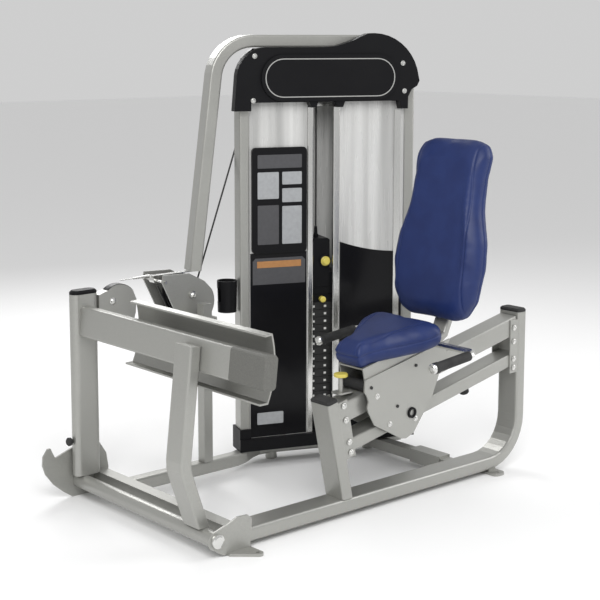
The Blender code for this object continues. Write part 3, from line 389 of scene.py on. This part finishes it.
def simulate(made, cap):
    """Inflates the pad a little as cloth under pressure, moving no point further than cap."""
    rest = np.array([v.co for v in made.data.vertices])
    cloth = made.modifiers.new("swell", "CLOTH")
    cloth.settings.use_pressure = True
    cloth.settings.uniform_pressure_force = 4
    cloth.settings.effector_weights.gravity = 0
    scene = bpy.context.scene
    for step in range(1, 21):
        scene.frame_set(step)
    swollen = made.evaluated_get(bpy.context.evaluated_depsgraph_get()).data
    moved = np.array([v.co for v in swollen.vertices]) - rest
    made.modifiers.remove(cloth)
    scene.frame_set(1)
    reach = np.linalg.norm(moved, axis=1, keepdims=True)
    moved *= np.minimum(1, cap / np.maximum(reach, 1e-9))
    made.data.vertices.foreach_set("co", (rest + moved).ravel())
    made.data.update()


def applied(made, kind, **values):
    modifier = made.modifiers.new(kind, kind)
    for name, value in values.items():
        setattr(modifier, name, value)
    result = bpy.data.meshes.new_from_object(made.evaluated_get(bpy.context.evaluated_depsgraph_get()))
    made.modifiers.clear()
    made.data = result


def sewn_pad(name, node, scale, cap, looks, seam_depth, shape=None):
    """A pad grown from its CAD solid, drawn in along the seams that seam_depth gives."""
    low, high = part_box(node)
    centre = (low + high) / 2
    made = bpy.data.objects.new(name, frame["nodes"][node].data.copy())
    bpy.context.scene.collection.objects.link(made)
    shrink = Matrix.Diagonal((*scale, 1))
    made.data.transform(Matrix.Translation(centre) @ shrink @ Matrix.Translation(-centre))
    applied(made, "REMESH", mode="VOXEL", voxel_size=0.006)
    applied(made, "SMOOTH", factor=0.5, iterations=6)
    simulate(made, cap)
    applied(made, "SMOOTH", factor=0.5, iterations=24)
    applied(made, "SUBSURF", levels=1)
    made.data.update()
    points = np.array([v.co for v in made.data.vertices])
    normals = np.array([v.normal for v in made.data.vertices])
    if shape:
        points = shape(points)
    made.data.vertices.foreach_set("co", (points - normals * seam_depth(points, normals)[:, None]).ravel())
    made.data.polygons.foreach_set("use_smooth", [True] * len(made.data.polygons))
    made.data.materials.clear()
    made.data.materials.append(looks["blue_upholstery"])
    made.data.update()
    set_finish(made, "blue_upholstery")
    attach(made, "seat_carriage")
    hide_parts(node)
    return made


def waist(points):
    """The back pad is drawn in above its middle and spreads again at the top."""
    low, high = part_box("back_pad")
    share = (points[:, 2] - low.z) / (high.z - low.z)
    middle = (low.y + high.y) / 2
    change = 1 - 0.085 * np.exp(-((share - 0.64) / 0.15) ** 2) + 0.10 * np.clip((share - 0.80) / 0.2, 0, 1)
    shaped = points.copy()
    shaped[:, 1] = middle + (points[:, 1] - middle) * change
    crown = 1 - np.clip(np.abs(points[:, 1] - middle) / 0.17, 0, 1) ** 2
    shaped[:, 2] += 0.010 * crown * np.clip((share - 0.85) / 0.15, 0, 1)
    return shaped


def groove(distance, width=0.0036, depth=0.0034):
    """How far a seam draws in a point at that distance from it."""
    return depth * np.exp(-(distance / width) ** 2)


def back_seams(points, normals):
    """Two seams run down the front face, closer together at the top, and one goes round the back edge."""
    low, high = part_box("back_pad")
    share = np.clip((points[:, 2] - low.z) / (high.z - low.z), 0, 1)
    across = np.abs(points[:, 1] - (low.y + high.y) / 2)
    line = 0.165 - 0.045 * np.clip(share - 0.35, 0, 1)
    front = np.clip(-normals[:, 0], 0, 1)
    lean = low.x + (high.x - low.x - 0.085) * share ** 1.6
    side = np.clip(1 - np.abs(normals[:, 0]) * 1.6, 0, 1)
    return front * groove(across - line) + side * groove(points[:, 0] - lean - 0.055)


def seat_seams(points, normals):
    """One seam goes round the side, and two run back from the narrow front."""
    up = Vector((-sin(RAIL_TILT), 0, cos(RAIL_TILT)))
    along = Vector((cos(RAIL_TILT), 0, sin(RAIL_TILT)))
    foot = RAIL_FOOT - MIDDLE
    height = (points - np.array(foot)) @ np.array(up)
    run = (points - np.array(foot)) @ np.array(along)
    across = np.abs(points[:, 1] - foot.y)
    top = np.clip(normals @ np.array(up), 0, 1)
    side = np.clip(1 - np.abs(normals @ np.array(up)) * 1.5, 0, 1)
    line = 0.045 + 0.085 * np.clip((run - 0.16) / 0.30, 0, 1)
    return side * groove(height - height.min() - 0.052) + top * groove(across - line)


# ---------------------------------------------------------------- fittings

def tower_front(u, z, depth):
    """A point depth out from the tower's front plane."""
    return tower(u, -depth, z)


def plate_front(u, z, depth):
    """A point depth out from the weight plates' front edges."""
    return tower(u, STACK_FRONT - depth, z)


def trim_header(looks):
    """A fine line round the blank oval panel, and the cover's screws."""
    rings = []
    for half_u, half_z in ((0.272, 0.0750), (0.268, 0.0712)):
        low, high = (OVAL_U - half_u, OVAL_Z - half_z), (OVAL_U + half_u, OVAL_Z + half_z)
        rings.append(rectangle(*low, *high, half_z - 0.0005, 9))
    count = len(rings[0])
    verts = [tower_front(a, b, d) for d in (0.0445, 0.0457) for ring in rings for a, b in ring]
    faces = []
    for i in range(count):
        j = (i + 1) % count
        for a, b in ((0, 1), (2, 3), (0, 2), (1, 3)):
            faces.append([a * count + i, a * count + j, b * count + j, b * count + i])
    piece("header_panel_line", verts, faces, looks["bright_steel"], "frame", "bright_steel")
    spots = ((0.010, 1.640), (0.004, 1.470), (0.632, 1.610), (0.640, 1.500))
    join("header_screws", [bolt(f"header_screw_{i}", tower(u, -0.0342, z), -INTO, 0.0075, looks, "frame")
                           for i, (u, z) in enumerate(spots)])


def trim_shields(looks):
    """Black lower parts over the light shields, the right one with a curved top edge, and a bright strip."""
    black, steps = looks["lower_panel"], 8
    shields = (("left", 0.003, 0.239, 0.870, 0.0), ("right", 0.382, 0.654, 0.850, 0.05))
    for name, low, high, split, rise in shields:
        outline = [(low, PANEL_LOW), (high, PANEL_LOW), (high, split)]
        outline += [(high + (low - high) * i / steps, split + rise * (i / steps) ** 2)
                    for i in range(1, steps + 1)]
        plate(name + "_lower_panel", outline, tower_front, -0.0055, 0.0015, black, "frame", "smoked_panel")
    plate("right_edge_strip", rectangle(0.614, PANEL_LOW, 0.640, STRIP_HIGH), tower_front, -0.0035, 0.004,
          looks["bright_steel"], "frame", "bright_steel")


def trim_board(looks):
    """Blank cards on the board, a blank placard under it and a blank label near the floor."""
    dark, grey = looks["card_dark"], looks["card_grey"]
    cards = [("board_card_head", dark, 0.030, 1.205, 0.214, 1.258),
             ("board_card_a", grey, 0.030, 1.085, 0.118, 1.190),
             ("board_card_b", grey, 0.132, 1.140, 0.214, 1.190),
             ("board_card_c", grey, 0.132, 1.070, 0.214, 1.125),
             ("board_card_d", dark, 0.030, 0.905, 0.118, 1.060),
             ("board_card_e", grey, 0.132, 0.905, 0.214, 1.055)]
    for name, look, *corners in cards:
        card = plate(name, rectangle(*corners, 0.004), tower_front, 0.0062, 0.0012, look,
                     "frame", "black_plastic")
        soften(card, 0.0004)
    placard = [(0.012, 0.745), (0.232, 0.745), (0.232, 0.838), (0.220, 0.850), (0.024, 0.850), (0.012, 0.838)]
    plate("lower_placard", placard, tower_front, -0.0035, 0.0022, dark, "frame", "black_plastic")
    plate("lower_placard_band", rectangle(0.030, 0.812, 0.214, 0.838), tower_front, -0.0012, 0.0008,
          looks["card_brown"], "frame", "black_plastic")
    plate("maker_label_blank", rectangle(0.030, 0.178, 0.140, 0.226, 0.004), tower_front, -0.0035, 0.0018,
          grey, "frame", "bright_steel")


def mark_plates(looks):
    """Two columns of blank white marks on the resting plates, and a black ring round the stack's knob."""
    wide, high, lowest = 0.010, 0.0085, 0.2650
    marks = []
    for i in range(RESTING_PLATES):
        z = lowest + i * PLATE_PITCH
        for u in (0.2740, 0.3240):
            outline = rectangle(u, z, u + wide, z + high)
            marks.append(plate(f"plate_mark_{i}_{u}", outline, plate_front, 0.0002, 0.0006,
                               looks["mark_white"], "frame", "black_cast_iron"))
    join("plate_marks", marks)
    profile = [(0.0, 0.0245), (0.0070, 0.0245), (0.0085, 0.0225), (0.0085, 0.0205), (0.0, 0.0205)]
    lathe_ring("knob_ring", tower(0.327, STACK_FRONT - 0.0002, 0.822), -INTO, profile, looks["black_plastic"],
               "lifted_stack", "black_plastic")


def bolt_rails(looks):
    """Bolts through the brackets at the seat rails' two ends."""
    bolts = [bolt(f"rear_bolt_{i}", machine(1.5275, RAIL_FACE, z), NEAR, 0.0085, looks, "frame")
             for i, z in enumerate((0.575, 0.520, 0.450, 0.415))]
    bolts += [bolt(f"front_bolt_{i}", rail(0.046, v, RAIL_FACE), NEAR, 0.0085, looks, "frame")
              for i, v in enumerate((0.345, 0.290, 0.205, 0.165))]
    join("rail_bolts", bolts)


def trim_carriage(looks):
    """The near side plate's bolts and bush, the release lever's disc and the grips' end caps."""
    spots = ((0.190, 0.330), (0.470, 0.330), (0.230, 0.205), (0.360, 0.175))
    join("carriage_bolts", [bolt(f"carriage_bolt_{i}", rail(u, v, CARRIAGE_FACE), NEAR, 0.0080, looks,
                                 "seat_carriage") for i, (u, v) in enumerate(spots)])
    bush = [(0.0, 0.021), (0.006, 0.020), (0.006, 0.013), (0.0, 0.013)]
    lathe_ring("carriage_bush", rail(0.345, 0.205, CARRIAGE_FACE), NEAR, bush, looks["black_plastic"],
               "seat_carriage", "black_plastic")
    disc = [(0.0, 0.0225), (0.0022, 0.0255), (0.0100, 0.0258), (0.0128, 0.0235), (0.0138, 0.0120)]
    lathe("release_disc", machine(0.640, 0.050, 0.5093), UP, disc, looks["yellow_plastic"], "release_lever",
          "yellow_plastic", sides=32)
    cap = [(0.0, 0.0185), (0.006, 0.0185), (0.010, 0.015), (0.012, 0.008)]
    for name, node in (("near_grip_cap", "near_grip"), ("far_grip_cap", "far_grip")):
        low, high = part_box(node)
        at = Vector((low.x + 0.0005, (low.y + high.y) / 2, low.z + 0.0200))
        lathe(name, at, Vector((-1, 0, -0.105)), cap, looks["bright_steel"], "seat_carriage", "bright_steel")


def trim_cable_side(looks):
    """The belt over the cam plate's arc, and the bolts of the cam and the pulley bracket."""
    verts, faces, steps = [], [], 14
    for i in range(steps + 1):
        t = radians(128 - 90 * i / steps)
        for r in (BELT_LOW, BELT_HIGH):
            verts += [machine(CAM_X + r * cos(t), y, CAM_Z + r * sin(t)) for y in (BELT_NEAR, BELT_FAR)]
    for i in range(steps):
        a, b = 4 * i, 4 * i + 4
        faces += [[a, a + 1, b + 1, b], [a + 2, b + 2, b + 3, a + 3]]
        faces += [[a, b, b + 2, a + 2], [a + 1, a + 3, b + 3, b + 1]]
    last = 4 * steps
    faces += [[0, 2, 3, 1], [last, last + 1, last + 3, last + 2]]
    piece("cam_belt", verts, faces, looks["black_cable"], "press_arm", "black_cable")
    join("cam_bolts", [bolt("cam_bolt_0", machine(0.165, 0.7907, 0.735), NEAR, 0.0100, looks, "press_arm")])
    join("fan_bolts", [bolt("fan_bolt_0", machine(0.490, 0.7268, 0.728), NEAR, 0.0110, looks, "frame")])


def stack_wire(looks):
    """The wire between the stack and its pulley, copied from its CAD node and held by the frame."""
    made = bpy.data.objects.new("stack_wire", frame["nodes"]["stack_cable"].data.copy())
    bpy.context.scene.collection.objects.link(made)
    made.data.materials.clear()
    made.data.materials.append(looks["black_cable"])
    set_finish(made, "black_cable")
    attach(made, "frame")
    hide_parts("stack_cable")
    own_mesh(made)


# ---------------------------------------------------------------- setting

def light(name, at, aim, size, power):
    made = bpy.data.objects.new(name, bpy.data.lights.new(name, "AREA"))
    made.data.size, made.data.energy = size, power
    made.location = at
    made.rotation_euler = (Vector(aim) - Vector(at)).to_track_quat("-Z", "Y").to_euler()
    bpy.context.scene.collection.objects.link(made)


def make_setting():
    floor = bpy.data.meshes.new("floor")
    floor.from_pydata([(-30, -30, 0), (30, -30, 0), (30, 30, 0), (-30, 30, 0)], [], [(0, 1, 2, 3)])
    ground = bpy.data.objects.new("floor", floor)
    bpy.context.scene.collection.objects.link(ground)
    floor.materials.append(shader("floor_paint", (0.93, 0.93, 0.93), 0.9))

    world = bpy.data.worlds.new("studio")
    bpy.context.scene.world = world
    world.use_nodes = True
    world.node_tree.nodes["Background"].inputs["Color"].default_value = (1, 1, 1, 1)
    world.node_tree.nodes["Background"].inputs["Strength"].default_value = 0.62
    light("key_light", (-2.6, -2.8, 3.6), (0, 0, 0.7), 2.4, 135)
    light("fill_light", (3.2, -2.2, 2.4), (0, 0, 0.7), 2.4, 50)
    light("rim_light", (1.2, 3.4, 3.2), (0, 0, 0.9), 2.0, 70)


def make_camera():
    made = bpy.data.objects.new("camera", bpy.data.cameras.new("camera"))
    made.data.lens, made.data.sensor_width = 82.7, 36.0
    made.data.shift_x, made.data.shift_y = 0.0333, -0.1183
    right, up = Vector((0.763, -0.647, 0.0)), Vector((0.088, 0.104, 0.991))
    back = Vector((-0.641, -0.756, 0.136))
    turn = Matrix((right, up, back)).transposed().to_4x4()
    made.matrix_world = Matrix.Translation((-3.373, -3.777, 1.702)) @ turn
    bpy.context.scene.collection.objects.link(made)
    bpy.context.scene.camera = made
    bpy.context.scene.view_settings.view_transform = "Standard"


def main():
    make_camera()
    looks = make_materials()
    dress_nodes(looks)
    sewn_pad("back_cushion", "back_pad", (0.95, 0.965, 0.98), 0.010, looks, back_seams, waist)
    sewn_pad("seat_cushion", "seat_pad", (0.965, 0.955, 0.95), 0.010, looks, seat_seams)
    trim_header(looks)
    trim_shields(looks)
    trim_board(looks)
    mark_plates(looks)
    bolt_rails(looks)
    trim_carriage(looks)
    trim_cable_side(looks)
    stack_wire(looks)
    make_setting()


main()
